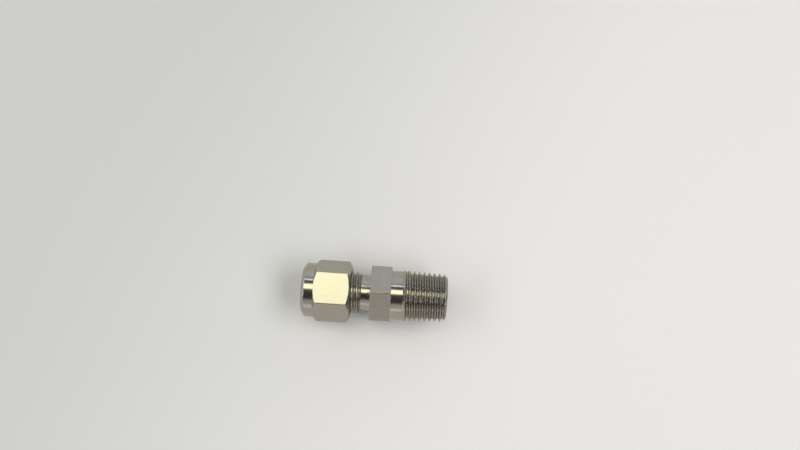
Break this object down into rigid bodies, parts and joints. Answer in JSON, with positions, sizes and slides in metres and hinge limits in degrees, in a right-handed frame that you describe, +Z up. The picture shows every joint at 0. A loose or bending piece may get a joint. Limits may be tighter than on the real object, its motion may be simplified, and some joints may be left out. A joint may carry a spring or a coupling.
{
  "type": "male tube fitting",
  "caption": "Compression tube fitting with a hexagonal nut, two ferrules and a hexagonal body that ends in a male taper pipe thread.",
  "frame": {"origin": "on the fitting's axis, at the shoulder inside the body where the end of the tube stops", "axes": "+X along the axis towards the open end of the male pipe thread, -X towards the tube end, +Z up through a corner of the body hexagon"},
  "size_m": [0.0381, 0.0164, 0.0164],
  "materials": {
    "body_steel": "turned and milled stainless steel, satin flats and bright turned surfaces",
    "nut_steel": "stainless steel with drawn satin flats",
    "ferrule_steel": "bright turned stainless steel"
  },
  "bodies": {
    "fitting_body": {"body": "body_steel"},
    "ferrule_set": {"front_ferrule": "ferrule_steel", "back_ferrule": "ferrule_steel"},
    "nut": {"nut": "nut_steel"}
  },
  "joints": [
    {"name": "ferrule_travel", "type": "slide", "parent": "fitting_body", "child": "ferrule_set", "axis": [-1, 0, 0], "range_m": [0, 0.0054]},
    {"name": "nut_turn", "type": "hinge", "parent": "ferrule_set", "child": "nut", "pos_m": [-0.0136, 0, 0], "axis": [-1, 0, 0], "range_deg": [0, 1530]}
  ],
  "couplings": [
    {"joint": "ferrule_travel", "follows": "nut_turn", "m_per_rad": 0.00020213}
  ]
}
